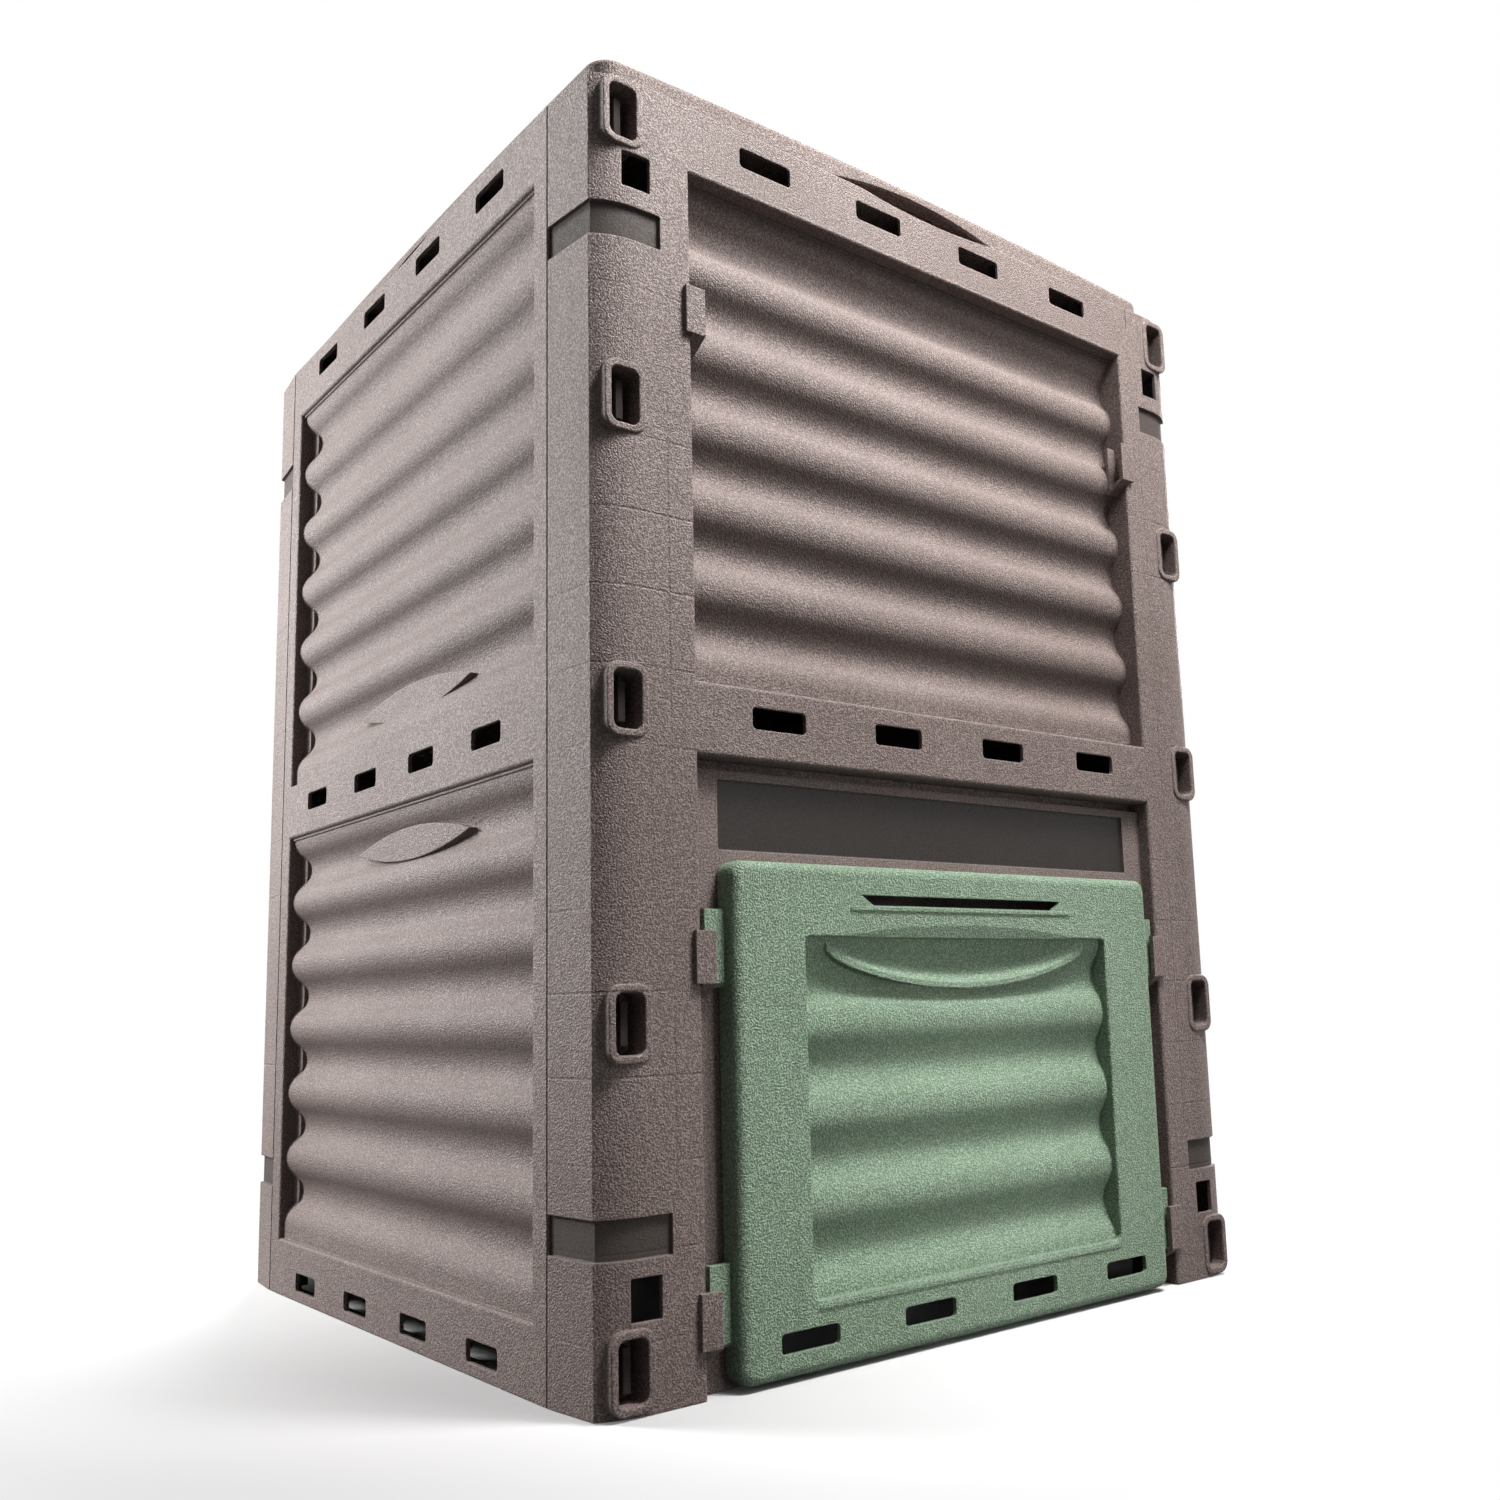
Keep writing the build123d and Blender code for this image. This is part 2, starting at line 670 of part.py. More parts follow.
with BuildPart() as door:
    add(plug(front, [(0, door_z)], 2 * door_half, door_h, door_corner, door_y, door_back))
    fillet(door.faces().sort_by(Axis.Y)[0].edges(), radius=door_round)
    tray = plug(front, [(0, door_z)], 2 * (door_half - door_wall), door_h - 2 * door_wall,
                door_corner - door_wall, door_y + door_wall, door_back + 1)
    window = plug(front, [(0, field_z)], 2 * door_field_half, field_h, 4, door_y - 1, door_back)
    add([tray, window], mode=Mode.SUBTRACT)
    fillet(door.faces().sort_by(Axis.Y)[0].inner_wires().edges(), radius=door_edge)
    ring = plug(front, [(0, field_z)], 2 * (door_field_half + door_wall), field_h + 2 * door_wall, 6,
                door_y + door_wall - 0.5, sheet_back)
    add(ring)
    add(plug(front, [(0, field_z)], 2 * door_field_half, field_h, 4, door_y + 2, sheet_back + 1),
        mode=Mode.SUBTRACT)
    sheet = wave_sheet(front, door_field_half + 1, field_z0 - 1, field_z1 + 1, door_waves, 0,
                       sheet_y, door_wave, door_wall)
    lip = plug(front, [(0, grip_z - grip_h / 2 - lip_h / 2 - 1)], lip_w, lip_h, 1.2,
               door_y - lip_proud, door_y + 1)
    bead = plug(front, [(0, field_z0 - bead_drop)], 2 * bead_half, 2 * bead_r, bead_r - 0.1,
                door_y - bead_r / 2, door_y + 1)
    tongues = [tongue(s, z) for s in (-1, 1) for z in (bracket_low_z, bracket_low_z + bracket_rise)]
    add([sheet, scoop_shell.part, lip, bead] + tongues)
    spots = [(k * door_slot_pitch, door_slot_z) for k in (-1.5, -0.5, 0.5, 1.5)]
    slots = plug(front, spots, door_slot_w, door_slot_h, slot_r, door_y - 1, door_back)
    add([scoop_room.part, slots, grip_slit(), door_arch()], mode=Mode.SUBTRACT)
door.part.label = "door"

# Lid: one shallow crowned cap that stands on the rim ledge, with a locating lip inside
lid_x = half_x - lid_inset
lid_y = depth / 2 - lid_inset
lid_mid = (0, y_mid, rim_z + lid_rise - lid_crown)
lip_in = max(ledge, flange) + lid_lip_gap
lip_x = half_x - lip_in
lip_y = depth / 2 - lip_in
lid_arch_top = rim_z + lid_arch_z


def lid_arch(at):
    """The raised arch in the skirt over a finger dip."""
    with BuildSketch(local(at, Plane.XZ.offset(1 - lid_inset))) as bow:
        with Locations((0, lid_arch_top - lid_arch_r)):
            Circle(lid_arch_r)
        with Locations((0, rim_z)):
            Rectangle(2 * lid_arch_r, 2 * lid_arch_z + 2, mode=Mode.INTERSECT)
    return extrude(bow.sketch, amount=-lid_wall - 3, mode=Mode.PRIVATE)


with BuildPart() as lid_room:
    with BuildSketch(Plane.XY.offset(rim_z - 1)):
        with Locations((0, y_mid)):
            RectangleRounded(2 * (lid_x - lid_wall), 2 * (lid_y - lid_wall), lid_corner - lid_wall)
            RectangleRounded(2 * lip_x, 2 * lip_y, lid_lip_r, mode=Mode.SUBTRACT)
            RectangleRounded(2 * (lip_x - lid_lip_t), 2 * (lip_y - lid_lip_t), lid_lip_r - lid_lip_t)
    extrude(amount=2 * lid_rise)
    with Locations(lid_mid):
        Sphere(lid_crown - lid_wall, mode=Mode.INTERSECT)

with BuildPart() as lid:
    with BuildSketch(Plane.XY.offset(rim_z)):
        with Locations((0, y_mid)):
            RectangleRounded(2 * lid_x, 2 * lid_y, lid_corner)
    extrude(amount=2 * lid_rise)
    with Locations(lid_mid):
        Sphere(lid_crown, mode=Mode.INTERSECT)
    fillet(lid.faces().sort_by(Axis.Z)[-1].edges(), radius=lid_round)
    add(lid_room.part, mode=Mode.SUBTRACT)
    with BuildSketch(Plane.XY.offset(rim_z - lid_lip_deep)):
        with Locations((0, y_mid)):
            RectangleRounded(2 * lip_x, 2 * lip_y, lid_lip_r)
            RectangleRounded(2 * (lip_x - lid_lip_t), 2 * (lip_y - lid_lip_t), lid_lip_r - lid_lip_t,
                             mode=Mode.SUBTRACT)
    extrude(amount=lid_lip_deep + 1)
    add([lid_arch(at) for at in (front, back, left, right)], mode=Mode.SUBTRACT)
lid.part.label = "lid"

for piece in (front_panel, back_panel, left_panel, right_panel, door, lid):
    export_step(piece.part, "parts/" + piece.part.label + ".step")
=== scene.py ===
import math
import bpy
from mathutils import Matrix, Vector

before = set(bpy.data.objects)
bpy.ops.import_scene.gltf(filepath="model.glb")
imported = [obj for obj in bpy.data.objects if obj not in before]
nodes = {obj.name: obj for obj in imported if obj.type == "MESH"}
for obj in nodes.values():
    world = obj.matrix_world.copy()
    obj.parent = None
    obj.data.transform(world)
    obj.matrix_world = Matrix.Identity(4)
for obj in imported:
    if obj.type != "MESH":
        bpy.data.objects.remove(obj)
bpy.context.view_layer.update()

# Front panel: one injection moulding of warm grey-brown resin with both front corner posts.
# Its outside has a fine leathery grain from the mould, its bands and the strip over the
# hatch are polished, and hooks of the side panels snap into its corner collars.


def put(tree, kind, **settings):
    """Adds a node, sets its properties and the values of its named inputs."""
    node = tree.nodes.new(kind)
    for key, value in settings.items():
        if hasattr(node, key):
            setattr(node, key, value)
        else:
            node.inputs[key.replace("_", " ")].default_value = value
    return node


def calc(tree, operation, a, b=None, clamp=False):
    """One Math node; a and b are sockets or numbers."""
    node = put(tree, "ShaderNodeMath", operation=operation, use_clamp=clamp)
    for slot, value in enumerate((a, b)):
        if value is None:
            continue
        if isinstance(value, (int, float)):
            node.inputs[slot].default_value = value
        else:
            tree.links.new(value, node.inputs[slot])
    return node.outputs[0]


def ramp(tree, value, low, high, to_low=0.0, to_high=1.0):
    """A smooth Map Range from a value to a mask."""
    node = put(tree, "ShaderNodeMapRange", interpolation_type="SMOOTHSTEP")
    tree.links.new(value, node.inputs["Value"])
    node.inputs["From Min"].default_value = low
    node.inputs["From Max"].default_value = high
    node.inputs["To Min"].default_value = to_low
    node.inputs["To Max"].default_value = to_high
    return node.outputs["Result"]


def tint(tree, amount, first, second):
    """Mixes two colours; each is a socket or a colour."""
    node = put(tree, "ShaderNodeMix", data_type="RGBA")
    sockets = [node.inputs["Factor"]] + [s for s in node.inputs if s.type == "RGBA"]
    for socket, value in zip(sockets, (amount, first, second)):
        if isinstance(value, (int, float, tuple)):
            socket.default_value = value
        else:
            tree.links.new(value, socket)
    return [s for s in node.outputs if s.type == "RGBA"][0]


def stain(tree, colour, mask, share, other):
    """Turns a colour by a share towards another one where a mask is 1."""
    return tint(tree, calc(tree, "MULTIPLY", mask, share), colour, other)


def srgb(r, g, b):
    """A display colour, 0 to 255, as a linear colour."""
    channels = []
    for c in (r, g, b):
        c = c / 255
        channels.append(c / 12.92 if c <= 0.04045 else ((c + 0.055) / 1.055) ** 2.4)
    return (*channels, 1.0)


def new_group(name, inputs, outputs):
    """An empty shader node group with its sockets, given as names and kinds."""
    group = bpy.data.node_groups.new(name, "ShaderNodeTree")
    for way, sockets in (("INPUT", inputs), ("OUTPUT", outputs)):
        for label, kind in sockets.items():
            group.interface.new_socket(label, in_out=way, socket_type="NodeSocket" + kind)
    return group


GRAIN = 840.0
PEBBLE_SOFTNESS = 0.35
PEBBLE_FALL = 1.3
PEBBLE_HEIGHT = 0.5
TOOTH_TO_GRAIN = 0.9
TOOTH_HEIGHT = 1.6
VALLEY_HEIGHTS = (0.86, 1.20)


def make_grain_group():
    """Leathery mould grain: rounded pebbles with a finer tooth between them."""
    group = new_group("mould_grain", {"Point": "Vector", "Per Metre": "Float"},
                      {"Height": "Float", "Valley": "Float"})
    start = group.nodes.new("NodeGroupInput")
    end = group.nodes.new("NodeGroupOutput")
    pebble = put(group, "ShaderNodeTexVoronoi", feature="SMOOTH_F1", Smoothness=PEBBLE_SOFTNESS)
    group.links.new(start.outputs["Point"], pebble.inputs["Vector"])
    group.links.new(start.outputs["Per Metre"], pebble.inputs["Scale"])
    tooth = put(group, "ShaderNodeTexNoise", Detail=2.0, Roughness=0.6)
    group.links.new(start.outputs["Point"], tooth.inputs["Vector"])
    tooth_scale = calc(group, "MULTIPLY", start.outputs["Per Metre"], TOOTH_TO_GRAIN)
    group.links.new(tooth_scale, tooth.inputs["Scale"])
    fall = calc(group, "MULTIPLY", pebble.outputs["Distance"], PEBBLE_FALL)
    rounded = calc(group, "SUBTRACT", 1.0, fall)
    height = calc(group, "ADD", calc(group, "MULTIPLY", rounded, PEBBLE_HEIGHT),
                  calc(group, "MULTIPLY", tooth.outputs[0], TOOTH_HEIGHT))
    group.links.new(height, end.inputs["Height"])
    group.links.new(ramp(group, height, *VALLEY_HEIGHTS, 1.0, 0.0), end.inputs["Valley"])
    return group


CLOUD_PER_METRE = 7.0
CLOUD_EDGES = (0.3, 0.7)
DRIP_PER_METRE = (60.0, 60.0, 3.0)
DRIP_EDGES = (0.5, 0.75)


def make_age_group():
    """Slow changes over a sun-bleached moulding: cloudy fading and upright drips."""
    group = new_group("sun_and_rain", {"Point": "Vector"}, {"Cloud": "Float", "Drip": "Float"})
    start = group.nodes.new("NodeGroupInput")
    end = group.nodes.new("NodeGroupOutput")
    cloud = put(group, "ShaderNodeTexNoise", Scale=CLOUD_PER_METRE, Detail=4.0, Roughness=0.55)
    group.links.new(start.outputs["Point"], cloud.inputs["Vector"])
    group.links.new(ramp(group, cloud.outputs[0], *CLOUD_EDGES), end.inputs["Cloud"])
    stretch = put(group, "ShaderNodeMapping", Scale=DRIP_PER_METRE)
    group.links.new(start.outputs["Point"], stretch.inputs["Vector"])
    drip = put(group, "ShaderNodeTexNoise", Scale=1.0, Detail=2.0)
    group.links.new(stretch.outputs[0], drip.inputs["Vector"])
    group.links.new(ramp(group, drip.outputs[0], *DRIP_EDGES), end.inputs["Drip"])
    return group


EDGE_RADIUS = 0.0014
EDGE_TURN = (0.75, 0.99)


def make_edge_group():
    """Where a moulded edge turns over: a softened normal and a mask of the turning strip, which
    the resin lightens as a painted highlight.
    """
    group = new_group("soft_edge", {}, {"Edge": "Float", "Normal": "Vector"})
    end = group.nodes.new("NodeGroupOutput")
    turn = put(group, "ShaderNodeBevel", samples=4, Radius=EDGE_RADIUS)
    flat = group.nodes.new("ShaderNodeNewGeometry")
    across = put(group, "ShaderNodeVectorMath", operation="DOT_PRODUCT")
    group.links.new(turn.outputs[0], across.inputs[0])
    group.links.new(flat.outputs["Normal"], across.inputs[1])
    group.links.new(ramp(group, across.outputs["Value"], *EDGE_TURN, 1.0, 0.0), end.inputs["Edge"])
    group.links.new(turn.outputs[0], end.inputs["Normal"])
    return group


grain_group = make_grain_group()
age_group = make_age_group()
edge_group = make_edge_group()

RESIN_IOR = 1.49
RESIN_GLOSS = 0.2
SUN_PALE = 0.25
VALLEY_DARK = 0.58
VALLEY_DULL = 0.20
DRIP_DARK = 0.10
EDGE_HIGHLIGHT_PALE = 0.35
POLISH_SHADE = 0.94
POLISH_FLAT = 0.7
SEAM_DARK = 0.22
SEAM_DEPTH = 0.6


def moulded_resin(name, main, pale, deep, rough=0.40, relief=0.00055, polish=None, lines=None):
    """Grained moulded resin; polish gives its smooth areas with their colour (on the side panels
    the hooks, in painted shade) and lines a mask of mould lines.
    """
    material = bpy.data.materials.new(name)
    material.use_nodes = True
    tree = material.node_tree
    tree.nodes.clear()
    out = tree.nodes.new("ShaderNodeOutputMaterial")
    surface = tree.nodes.new("ShaderNodeBsdfPrincipled")
    surface.inputs["IOR"].default_value = RESIN_IOR
    surface.inputs["Specular IOR Level"].default_value = RESIN_GLOSS
    tree.links.new(surface.outputs[0], out.inputs["Surface"])
    point = tree.nodes.new("ShaderNodeTexCoord").outputs["Object"]
    pebbles = put(tree, "ShaderNodeGroup", node_tree=grain_group)
    pebbles.inputs["Per Metre"].default_value = GRAIN
    tree.links.new(point, pebbles.inputs["Point"])
    age = put(tree, "ShaderNodeGroup", node_tree=age_group)
    tree.links.new(point, age.inputs["Point"])
    edge = put(tree, "ShaderNodeGroup", node_tree=edge_group)

    smooth, shade, shift = polish(tree, point) if polish else (0.0, deep, 0.0)
    rough_part = calc(tree, "SUBTRACT", 1.0, calc(tree, "MULTIPLY", smooth, POLISH_FLAT))
    valley = calc(tree, "MULTIPLY", pebbles.outputs["Valley"], rough_part)
    seam = calc(tree, "MULTIPLY", lines(tree, point), age.outputs["Cloud"]) if lines else 0.0

    colour = stain(tree, main, age.outputs["Cloud"], SUN_PALE, pale)
    colour = stain(tree, colour, valley, VALLEY_DARK, deep)
    colour = stain(tree, colour, age.outputs["Drip"], DRIP_DARK, deep)
    # Painted highlight: where an edge turns over, the colour is lightened towards the pale one.
    colour = stain(tree, colour, edge.outputs["Edge"], EDGE_HIGHLIGHT_PALE, pale)
    # Smooth areas take their own colour; on the side panels' hooks this colour is painted shade.
    colour = stain(tree, colour, smooth, POLISH_SHADE, shade)
    colour = stain(tree, colour, seam, SEAM_DARK, deep)
    tree.links.new(colour, surface.inputs["Base Color"])

    roughness = calc(tree, "MULTIPLY", pebbles.outputs["Valley"], VALLEY_DULL)
    roughness = calc(tree, "ADD", calc(tree, "ADD", roughness, rough), shift)
    tree.links.new(roughness, surface.inputs["Roughness"])

    height = calc(tree, "MULTIPLY", pebbles.outputs["Height"], rough_part)
    height = calc(tree, "SUBTRACT", height, calc(tree, "MULTIPLY", seam, SEAM_DEPTH))
    bump = put(tree, "ShaderNodeBump", Strength=1.0, Distance=relief)
    tree.links.new(height, bump.inputs["Height"])
    tree.links.new(edge.outputs["Normal"], bump.inputs["Normal"])
    tree.links.new(bump.outputs[0], surface.inputs["Normal"])
    return material


def axes(tree, point):
    """The three coordinates of a point."""
    split = tree.nodes.new("ShaderNodeSeparateXYZ")
    tree.links.new(point, split.inputs[0])
    return split.outputs["X"], split.outputs["Y"], split.outputs["Z"]


def past(tree, value, limit, soft=0.0005):
    """A mask that is 1 where the value is over a limit."""
    return ramp(tree, value, limit - soft, limit + soft)


def short_of(tree, value, limit, soft=0.0005):
    """A mask that is 1 where the value is under a limit."""
    return ramp(tree, value, limit - soft, limit + soft, 1.0, 0.0)


def between(tree, value, limits, soft=0.0006):
    """A mask that is 1 where the value lies between two limits."""
    low, high = limits
    return calc(tree, "MULTIPLY", past(tree, value, low, soft), short_of(tree, value, high, soft))


FRONT_Y = -0.30115
BAND_BROWN = (0.042, 0.034, 0.030, 1.0)
BAND_LOW = (0.0868, 0.1103)
BAND_HIGH = (0.7253, 0.7488)
BAND_FROM = 0.2520
BAND_DULL = 0.22
STRIP_BLACK = (0.010, 0.008, 0.007, 1.0)
STRIP_TALL = (0.331, 0.377)
STRIP_HALF = 0.2060
STRIP_DEPTH = 0.015
STRIP_SHINE = 0.16


def post_polish(tree, point):
    """The bands round the posts and the strip over the hatch: mask, colour, roughness change."""
    x, y, z = axes(tree, point)
    x = calc(tree, "ABSOLUTE", x)
    bands = calc(tree, "ADD", between(tree, z, BAND_LOW), between(tree, z, BAND_HIGH), True)
    bands = calc(tree, "MULTIPLY", bands, past(tree, x, BAND_FROM))
    strip = calc(tree, "MULTIPLY", between(tree, z, STRIP_TALL), short_of(tree, x, STRIP_HALF))
    strip = calc(tree, "MULTIPLY", strip, short_of(tree, y, FRONT_Y + STRIP_DEPTH, 0.001))
    shade = tint(tree, strip, BAND_BROWN, STRIP_BLACK)
    shift = calc(tree, "SUBTRACT", calc(tree, "MULTIPLY", bands, BAND_DULL),
                 calc(tree, "MULTIPLY", strip, STRIP_SHINE))
    return calc(tree, "ADD", bands, strip, True), shade, shift


POST_FROM = 0.2285
RUNG_FIRST = 0.0400
RUNG_STEP = 0.05025
RUNG_TALL = (0.03, 0.70)
RUNG_LINE = (0.0003, 0.0012)
UPRIGHT_AT = 0.2485
UPRIGHT_TALL = (0.12, 0.70)
UPRIGHT_LINE = (0.0003, 0.0014)
RIB_STEP = 0.108
RIB_END = 0.2275
RIB_LINE = (0.0002, 0.0009)
RIB_SHARE = 0.6
TOP_RAIL_FROM = 0.7605
MID_RAIL = (0.385, 0.440)


def off_row(tree, value, step):
    """The distance to the nearest of a row of lines that are a step apart."""
    share = calc(tree, "PINGPONG", calc(tree, "DIVIDE", value, step), 0.5)
    return calc(tree, "MULTIPLY", share, step)


def post_lines(tree, point):
    """Fine mould lines: rungs up the posts, an upright beside each field, ribs across rails."""
    x, _, z = axes(tree, point)
    x = calc(tree, "ABSOLUTE", x)
    rung = off_row(tree, calc(tree, "SUBTRACT", z, RUNG_FIRST), RUNG_STEP)
    rung = ramp(tree, rung, *RUNG_LINE, 1.0, 0.0)
    rung = calc(tree, "MULTIPLY", rung, past(tree, x, POST_FROM))
    rung = calc(tree, "MULTIPLY", rung, between(tree, z, RUNG_TALL))
    upright = calc(tree, "ABSOLUTE", calc(tree, "SUBTRACT", x, UPRIGHT_AT))
    upright = ramp(tree, upright, *UPRIGHT_LINE, 1.0, 0.0)
    upright = calc(tree, "MULTIPLY", upright, between(tree, z, UPRIGHT_TALL))
    rib = ramp(tree, off_row(tree, x, RIB_STEP), *RIB_LINE, 1.0, 0.0)
    rib = calc(tree, "MULTIPLY", rib, short_of(tree, x, RIB_END))
    rails = calc(tree, "ADD", past(tree, z, TOP_RAIL_FROM), between(tree, z, MID_RAIL), True)
    rib = calc(tree, "MULTIPLY", calc(tree, "MULTIPLY", rib, rails), RIB_SHARE)
    return calc(tree, "ADD", calc(tree, "ADD", rung, upright), rib, True)


taupe = dict(main=srgb(130, 115, 110), pale=srgb(164, 150, 146), deep=srgb(50, 42, 39))
post_resin = moulded_resin("taupe_resin_posts", polish=post_polish, lines=post_lines, **taupe)
nodes["front_panel"].data.materials[0] = post_resin

# Back panel: a moulding like the front, with both rear corner posts and their collars,
# but with two corrugated fields and no hatch. It is of the same grained resin, and the
# hooks of the side panels snap into it in the same way.
nodes["back_panel"].data.materials[0] = post_resin

# Side panels: one flat moulding used twice, grained resin of the same batch,
# with snap hooks along both upright edges that go through the posts' collars.
HOOK_SHADE_BROWN = (0.016, 0.013, 0.012, 1.0)
HOOK_START = 0.2605
HOOK_FADE = 0.004
HOOK_DULL = 0.5


def hook_painted_shade(tree, point):
    """The snap hooks inside the collars: painted shade, a near-black brown, and a duller finish.
    """
    _, y, _ = axes(tree, point)
    # Painted shade: the hooks sit deep in the collars, and their colour is set near black.
    hooks = ramp(tree, calc(tree, "ABSOLUTE", y), HOOK_START, HOOK_START + HOOK_FADE)
    return hooks, HOOK_SHADE_BROWN, calc(tree, "MULTIPLY", hooks, HOOK_DULL)


side_resin = moulded_resin("taupe_resin_sides", polish=hook_painted_shade, **taupe)
nodes["left_panel"].data.materials[0] = side_resin
nodes["right_panel"].data.materials[0] = side_resin

# Lid: a loose crowned cap moulded of the same grained resin, a little duller than the
# panels. It stands on the rim ledge with a locating lip inside, and is lifted off by
# hand at the dips in the rim.
LID_ROUGH = 0.55
lid_resin = moulded_resin("taupe_resin_lid", rough=LID_ROUGH, **taupe)
nodes["lid"].data.materials[0] = lid_resin

# Hatch door: one moulding of sage green resin with a deeper grain, a flat frame round a
# corrugated field, a grip slit and a finger scoop. Its four tongues hang in the brackets
# of the front panel, and it is lifted out by hand.
DOOR_RELIEF = 0.0012
sage = dict(main=srgb(143, 165, 141), pale=srgb(171, 190, 169), deep=srgb(64, 82, 63))
door_resin = moulded_resin("sage_resin_door", relief=DOOR_RELIEF, **sage)
nodes["door"].data.materials[0] = door_resin

# Floor: a wide sheet of pale matte paper just under the bin. It takes the bin's shadow,
# a painted shadow makes it greyest at the left front, and it fades into the white of the
# backdrop. To bounced light it is dim, so that no glow from below reaches the panels.
FLOOR_SIZE = 60.0
FLOOR_Z = -0.0005
WHITE = (1.0, 1.0, 1.0, 1.0)
WHITE_PAINTED_SHADOW = (0.76, 0.75, 0.75, 1.0)
PAPER = (0.62, 0.62, 0.62, 1.0)
PAPER_PAINTED_SHADOW = (0.45, 0.445, 0.445, 1.0)
PAPER_DIM = (0.06, 0.06, 0.06, 1.0)
PAINTED_SHADOW_AT = (-0.40, -0.24, 0.0)
PAINTED_SHADOW_REACH = (0.02, 0.44)
FADE_REACH = (0.34, 0.60)


def shows_backdrop(tree):
    """1 for the rays that show the backdrop: of the camera, off gloss and through glass."""
    rays = tree.nodes.new("ShaderNodeLightPath")
    seen = calc(tree, "MAXIMUM", rays.outputs["Is Camera Ray"], rays.outputs["Is Glossy Ray"])
    return calc(tree, "MAXIMUM", seen, rays.outputs["Is Transmission Ray"])


bpy.ops.object.select_all(action="DESELECT")
bpy.ops.mesh.primitive_plane_add(size=FLOOR_SIZE, location=(0.0, 0.0, FLOOR_Z))
floor = bpy.context.object
floor.name = "pale_floor"
paper = bpy.data.materials.new("pale_paper")
paper.use_nodes = True
sheet = paper.node_tree
sheet.nodes.clear()
done = sheet.nodes.new("ShaderNodeOutputMaterial")
matte = sheet.nodes.new("ShaderNodeBsdfDiffuse")
white = put(sheet, "ShaderNodeEmission", Strength=1.0)
blend = sheet.nodes.new("ShaderNodeMixShader")
spot = sheet.nodes.new("ShaderNodeTexCoord").outputs["Object"]
far = put(sheet, "ShaderNodeVectorMath", operation="LENGTH")
sheet.links.new(spot, far.inputs[0])
off_painted_shadow = put(sheet, "ShaderNodeVectorMath", operation="DISTANCE")
sheet.links.new(spot, off_painted_shadow.inputs[0])
off_painted_shadow.inputs[1].default_value = PAINTED_SHADOW_AT
# Painted shadow: a soft grey spot in the floor's colour, darkest at the left front of the bin.
painted_shadow = ramp(sheet, off_painted_shadow.outputs["Value"], *PAINTED_SHADOW_REACH, 1.0, 0.0)
seen = shows_backdrop(sheet)
sheet.links.new(tint(sheet, painted_shadow, WHITE, WHITE_PAINTED_SHADOW), white.inputs["Color"])
paper_colour = tint(sheet, seen, PAPER_DIM, tint(sheet, painted_shadow, PAPER, PAPER_PAINTED_SHADOW))
sheet.links.new(paper_colour, matte.inputs["Color"])
fade = calc(sheet, "MULTIPLY", ramp(sheet, far.outputs["Value"], *FADE_REACH), seen)
sheet.links.new(fade, blend.inputs["Fac"])
sheet.links.new(matte.outputs[0], blend.inputs[1])
sheet.links.new(white.outputs[0], blend.inputs[2])
sheet.links.new(blend.outputs[0], done.inputs["Surface"])
floor.data.materials.append(paper)

# Studio light: soft lamps high over the front and its top, a narrow low one for the hatch,
# two on the left from behind and one each for the back and the right side, in a dim room
# whose backdrop is white.
ROOM_HEIGHTS = (0.1, 0.95)
ROOM_FILL = (0.01, 0.18)


def soft_lamp(name, place, aim, size, power, spread=180.0):
    """A square area lamp at a place, facing a point; a small spread keeps it to that point."""
    lamp = bpy.data.lights.new(name, "AREA")
    lamp.shape = "SQUARE"
    lamp.size = size
    lamp.energy = power
    lamp.spread = math.radians(spread)
    holder = bpy.data.objects.new(name, lamp)
    bpy.context.scene.collection.objects.link(holder)
    holder.visible_camera = False
    holder.location = place
    holder.rotation_euler = (Vector(aim) - Vector(place)).to_track_quat("-Z", "Y").to_euler()


soft_lamp("lamp_front_high", (0.28, -0.88, 1.85), (0.0, -0.3, 0.50), size=0.30, power=40.0)
soft_lamp("lamp_front_top", (-0.02, -0.74, 1.28), (-0.1, -0.3, 0.75), size=0.22, power=5.5)
soft_lamp("lamp_front_right", (0.45, -0.95, 1.33), (-0.1, -0.3, 0.70), size=0.30, power=6.0)
soft_lamp("lamp_front_low", (0.50, -1.75, 1.10), (0.0, -0.3, 0.15), size=0.50, power=3.0)
soft_lamp("lamp_hatch", (0.25, -1.50, 0.16), (0.0, -0.31, 0.13), size=0.30, power=0.25,
          spread=30.0)
soft_lamp("lamp_left_high", (-1.20, 0.95, 2.00), (-0.3, 0.0, 0.45), size=0.50, power=36.0)
soft_lamp("lamp_left", (-1.35, 1.35, 0.90), (-0.3, 0.0, 0.45), size=0.50, power=50.0)
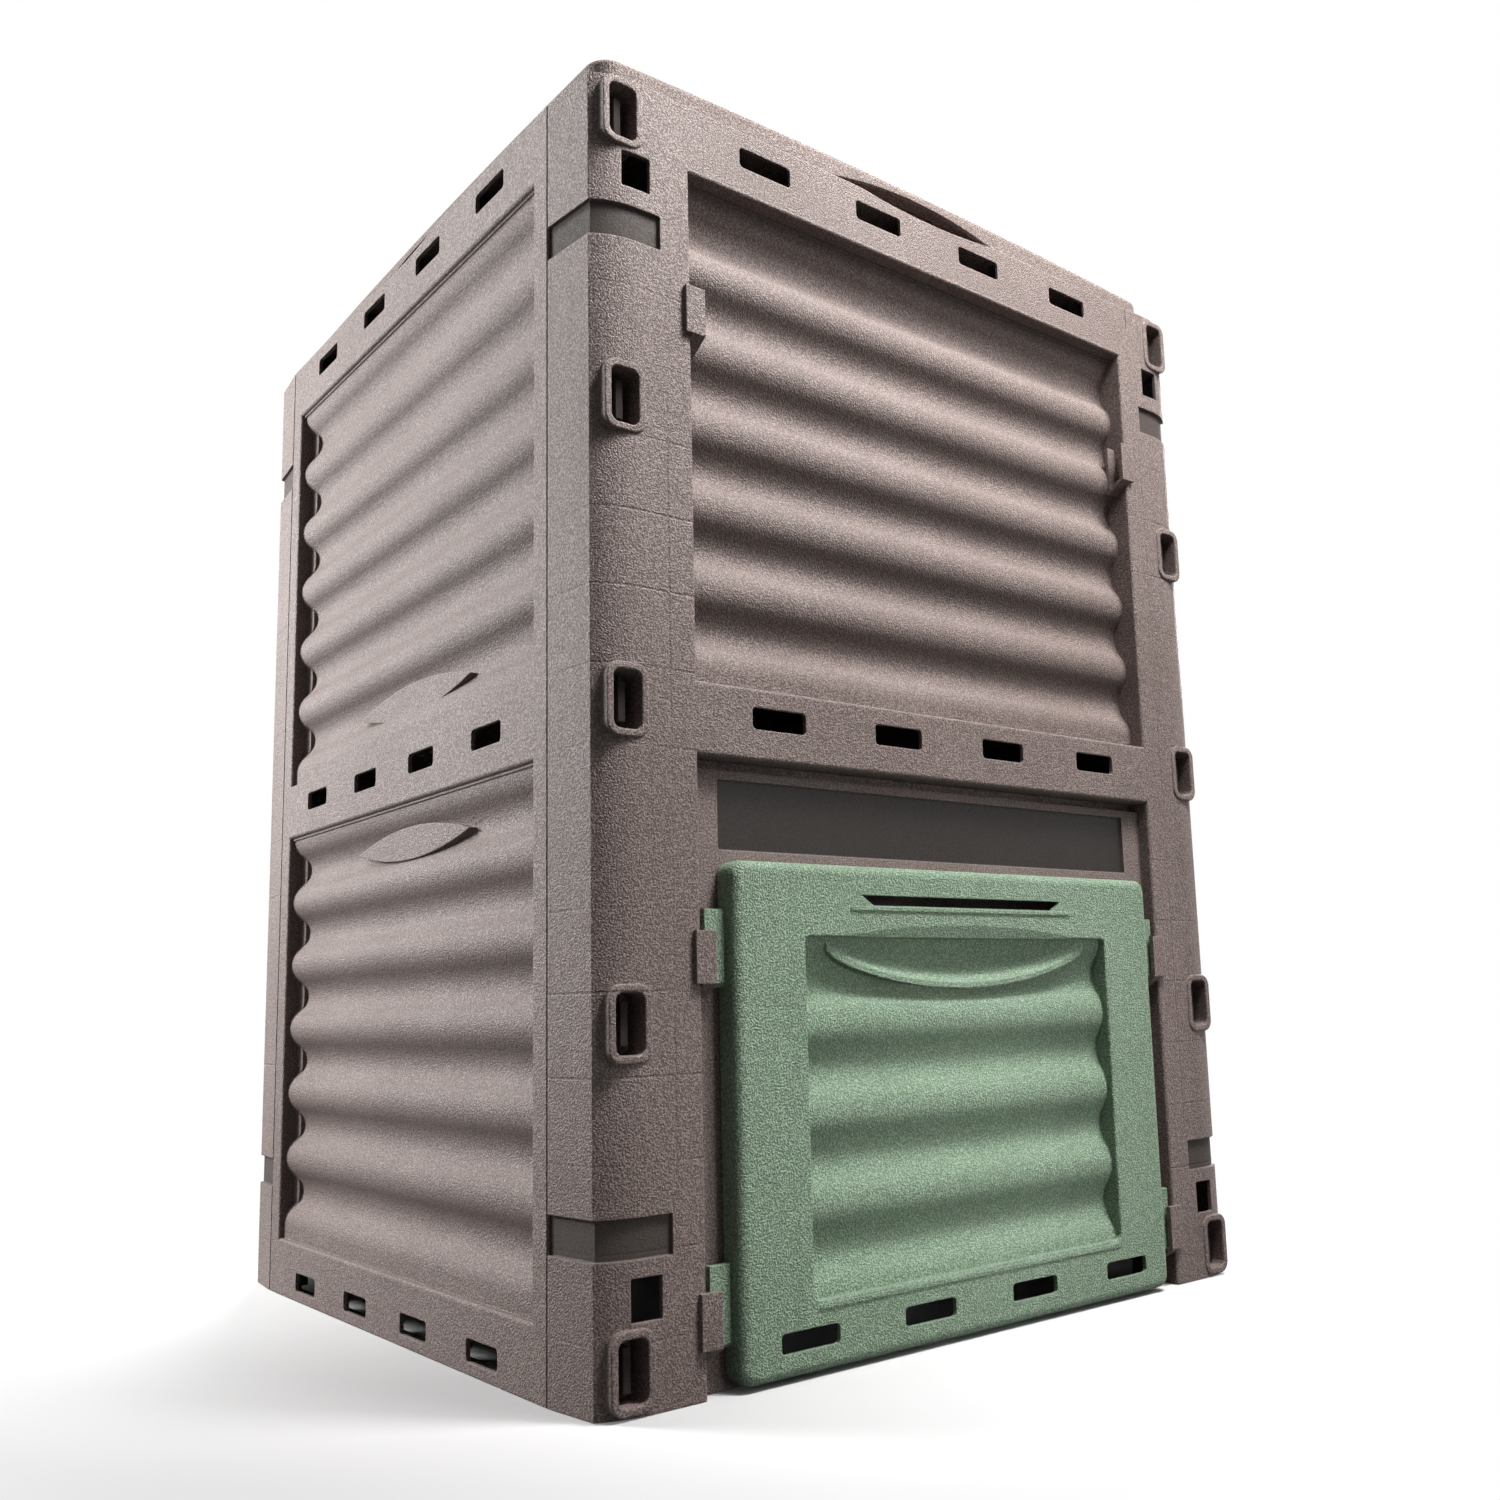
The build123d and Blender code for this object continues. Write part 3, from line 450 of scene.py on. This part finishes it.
soft_lamp("lamp_back", (0.60, 1.70, 1.20), (0.0, 0.3, 0.45), size=0.60, power=30.0)
soft_lamp("lamp_right", (1.80, 0.50, 1.20), (0.3, 0.0, 0.45), size=0.60, power=32.0)

world = bpy.data.worlds.new("pale_room")
bpy.context.scene.world = world
world.use_nodes = True
room = world.node_tree
room.nodes.clear()
sky = room.nodes.new("ShaderNodeOutputWorld")
backdrop = put(room, "ShaderNodeBackground", Color=WHITE, Strength=1.0)
fill = put(room, "ShaderNodeBackground", Color=WHITE)
_, _, upward = axes(room, room.nodes.new("ShaderNodeTexCoord").outputs["Generated"])
room.links.new(ramp(room, upward, *ROOM_HEIGHTS, *ROOM_FILL), fill.inputs["Strength"])
mix = room.nodes.new("ShaderNodeMixShader")
room.links.new(shows_backdrop(room), mix.inputs["Fac"])
room.links.new(fill.outputs[0], mix.inputs[1])
room.links.new(backdrop.outputs[0], mix.inputs[2])
room.links.new(mix.outputs[0], sky.inputs["Surface"])
bpy.context.scene.view_settings.view_transform = "Standard"

# Camera: a wide lens low in front of the left corner, looking a little up and held not
# quite level, as the photograph was taken. Its place and angles were fitted to the
# straight edges of the front and the left side.
EYE_AT = (-0.7172, -1.0145, 0.2311)
yaw = math.radians(39.48)
pitch = math.radians(8.51)
roll = math.radians(-1.68)
ahead = Vector((math.sin(yaw) * math.cos(pitch), math.cos(yaw) * math.cos(pitch),
                math.sin(pitch)))
right = Vector((math.cos(yaw), -math.sin(yaw), 0.0))
up = right.cross(ahead)
right_rolled = math.cos(roll) * right + math.sin(roll) * up
up_rolled = math.cos(roll) * up - math.sin(roll) * right
lens = bpy.data.cameras.new("photo_camera")
lens.sensor_fit = "HORIZONTAL"
lens.sensor_width = 36.0
lens.lens = 33.113
lens.shift_x = -0.0463
lens.shift_y = 0.0311
lens.clip_start = 0.01
eye = bpy.data.objects.new("photo_camera", lens)
bpy.context.scene.collection.objects.link(eye)
turn = Matrix((right_rolled, up_rolled, -ahead)).transposed().to_4x4()
eye.matrix_world = Matrix.Translation(EYE_AT) @ turn
bpy.context.scene.camera = eye
